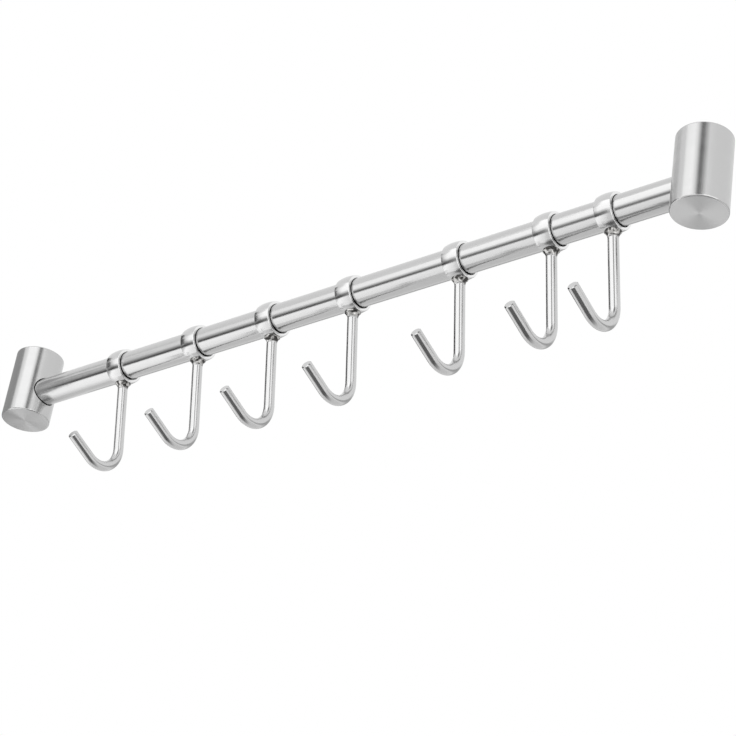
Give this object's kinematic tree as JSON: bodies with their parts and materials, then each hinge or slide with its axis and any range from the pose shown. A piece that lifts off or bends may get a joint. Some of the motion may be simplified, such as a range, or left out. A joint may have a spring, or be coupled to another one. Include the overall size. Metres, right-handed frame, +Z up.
{
  "type": "kitchen utensil rail",
  "caption": "Stainless steel utensil rail: a round tube between two turned end posts, with J-shaped hooks whose rings slide along the tube and swing on it.",
  "frame": {"origin": "midway between the two fixing holes, on the mounting plane", "axes": "+X along the rail, +Z up into the surface that the rail is fixed under, -Y towards the hooks' open side"},
  "size_m": [0.43, 0.0357, 0.0836],
  "materials": {
    "rail_tube": "satin, belt-ground round the tube",
    "post": "satin, turned side and end",
    "boss": "plain turned",
    "screw": "plain",
    "hook_ring": "polished",
    "hook_rod": "polished"
  },
  "bodies": {
    "rail": {"rail_tube": "rail_tube", "left_post": "post", "left_boss": "boss", "left_set_screw": "screw", "left_clamp_screw": "screw", "right_post": "post", "right_boss": "boss", "right_set_screw": "screw", "right_clamp_screw": "screw"},
    "ring_1": {"hook_ring_1": "hook_ring"},
    "rod_1": {"hook_rod_1": "hook_rod"},
    "ring_2": {"hook_ring_2": "hook_ring"},
    "rod_2": {"hook_rod_2": "hook_rod"},
    "ring_3": {"hook_ring_3": "hook_ring"},
    "rod_3": {"hook_rod_3": "hook_rod"},
    "ring_4": {"hook_ring_4": "hook_ring"},
    "rod_4": {"hook_rod_4": "hook_rod"},
    "ring_5": {"hook_ring_5": "hook_ring"},
    "rod_5": {"hook_rod_5": "hook_rod"},
    "ring_6": {"hook_ring_6": "hook_ring"},
    "rod_6": {"hook_rod_6": "hook_rod"},
    "ring_7": {"hook_ring_7": "hook_ring"},
    "rod_7": {"hook_rod_7": "hook_rod"}
  },
  "joints": [
    {"name": "ring_1_slide", "type": "slide", "parent": "rail", "child": "ring_1", "axis": [1, 0, 0], "range_m": [-0.0512, 0.0424]},
    {"name": "rod_1_swing", "type": "hinge", "parent": "ring_1", "child": "rod_1", "pos_m": [-0.134, 0, -0.02395], "axis": [1, 0, 0], "range_deg": [-89, 105]},
    {"name": "ring_2_slide", "type": "slide", "parent": "rail", "child": "ring_2", "axis": [1, 0, 0], "range_m": [-0.0424, 0.0394]},
    {"name": "rod_2_swing", "type": "hinge", "parent": "ring_2", "child": "rod_2", "pos_m": [-0.0826, 0, -0.02395], "axis": [1, 0, 0], "range_deg": [-89, 105]},
    {"name": "ring_3_slide", "type": "slide", "parent": "rail", "child": "ring_3", "axis": [1, 0, 0], "range_m": [-0.0394, 0.0408]},
    {"name": "rod_3_swing", "type": "hinge", "parent": "ring_3", "child": "rod_3", "pos_m": [-0.0342, 0, -0.02395], "axis": [1, 0, 0], "range_deg": [-89, 105]},
    {"name": "ring_4_slide", "type": "slide", "parent": "rail", "child": "ring_4", "axis": [1, 0, 0], "range_m": [-0.0408, 0.0529]},
    {"name": "rod_4_swing", "type": "hinge", "parent": "ring_4", "child": "rod_4", "pos_m": [0.0156, 0, -0.02395], "axis": [1, 0, 0], "range_deg": [-89, 105]},
    {"name": "ring_5_slide", "type": "slide", "parent": "rail", "child": "ring_5", "axis": [1, 0, 0], "range_m": [-0.0529, 0.0405]},
    {"name": "rod_5_swing", "type": "hinge", "parent": "ring_5", "child": "rod_5", "pos_m": [0.0775, 0, -0.02395], "axis": [1, 0, 0], "range_deg": [-89, 105]},
    {"name": "ring_6_slide", "type": "slide", "parent": "rail", "child": "ring_6", "axis": [1, 0, 0], "range_m": [-0.0405, 0.0228]},
    {"name": "rod_6_swing", "type": "hinge", "parent": "ring_6", "child": "rod_6", "pos_m": [0.127, 0, -0.02395], "axis": [1, 0, 0], "range_deg": [-89, 105]},
    {"name": "ring_7_slide", "type": "slide", "parent": "rail", "child": "ring_7", "axis": [1, 0, 0], "range_m": [-0.0228, 0.0265]},
    {"name": "rod_7_swing", "type": "hinge", "parent": "ring_7", "child": "rod_7", "pos_m": [0.1588, 0, -0.02395], "axis": [1, 0, 0], "range_deg": [-89, 105]}
  ]
}
